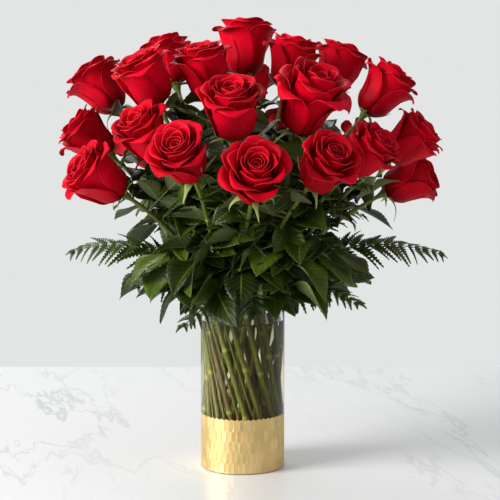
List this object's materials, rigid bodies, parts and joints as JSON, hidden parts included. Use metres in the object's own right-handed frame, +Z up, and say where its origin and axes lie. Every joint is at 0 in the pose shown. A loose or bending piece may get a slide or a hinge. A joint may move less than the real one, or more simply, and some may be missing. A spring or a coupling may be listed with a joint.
{
  "type": "roses in a vase",
  "caption": "Dome of cut red roses with rose leaves and fern fronds, standing in water in a round glass vase with a gold honeycomb foot band.",
  "frame": {"origin": "centre of the vase's foot, on the surface that it rests on", "axes": "+Z up along the vase's axis, -Y towards the front of the bouquet, +X to its right as seen from the front"},
  "size_m": [0.4622, 0.4218, 0.5414],
  "materials": {
    "glass": "polished",
    "gold": "satin",
    "water": "clear",
    "petals": "velvety",
    "stems": "semi-gloss",
    "fern": "semi-gloss"
  },
  "bodies": {
    "root": {"vase_glass": "glass", "gold_band": "gold", "water": "water", "rose_01_bloom": "petals", "rose_02_bloom": "petals", "rose_03_bloom": "petals", "rose_04_bloom": "petals", "rose_05_bloom": "petals", "rose_06_bloom": "petals", "rose_07_bloom": "petals", "rose_08_bloom": "petals", "rose_09_bloom": "petals", "rose_10_bloom": "petals", "rose_11_bloom": "petals", "rose_12_bloom": "petals", "rose_13_bloom": "petals", "rose_14_bloom": "petals", "rose_15_bloom": "petals", "rose_16_bloom": "petals", "rose_17_bloom": "petals", "rose_18_bloom": "petals", "rose_19_bloom": "petals", "rose_20_bloom": "petals", "rose_21_bloom": "petals", "rose_22_bloom": "petals", "rose_23_bloom": "petals", "rose_24_bloom": "petals", "rose_01_stem": "stems", "rose_02_stem": "stems", "rose_03_stem": "stems", "rose_04_stem": "stems", "rose_05_stem": "stems", "rose_06_stem": "stems", "rose_07_stem": "stems", "rose_08_stem": "stems", "rose_09_stem": "stems", "rose_10_stem": "stems", "rose_11_stem": "stems", "rose_12_stem": "stems", "rose_13_stem": "stems", "rose_14_stem": "stems", "rose_15_stem": "stems", "rose_16_stem": "stems", "rose_17_stem": "stems", "rose_18_stem": "stems", "rose_19_stem": "stems", "rose_20_stem": "stems", "rose_21_stem": "stems", "rose_22_stem": "stems", "rose_23_stem": "stems", "rose_24_stem": "stems", "fern_frond_1": "fern", "fern_frond_2": "fern", "fern_frond_3": "fern", "fern_frond_4": "fern", "fern_frond_5": "fern", "fern_frond_6": "fern", "fern_frond_7": "fern", "fern_frond_8": "fern", "fern_frond_9": "fern"}
  },
  "joints": []
}
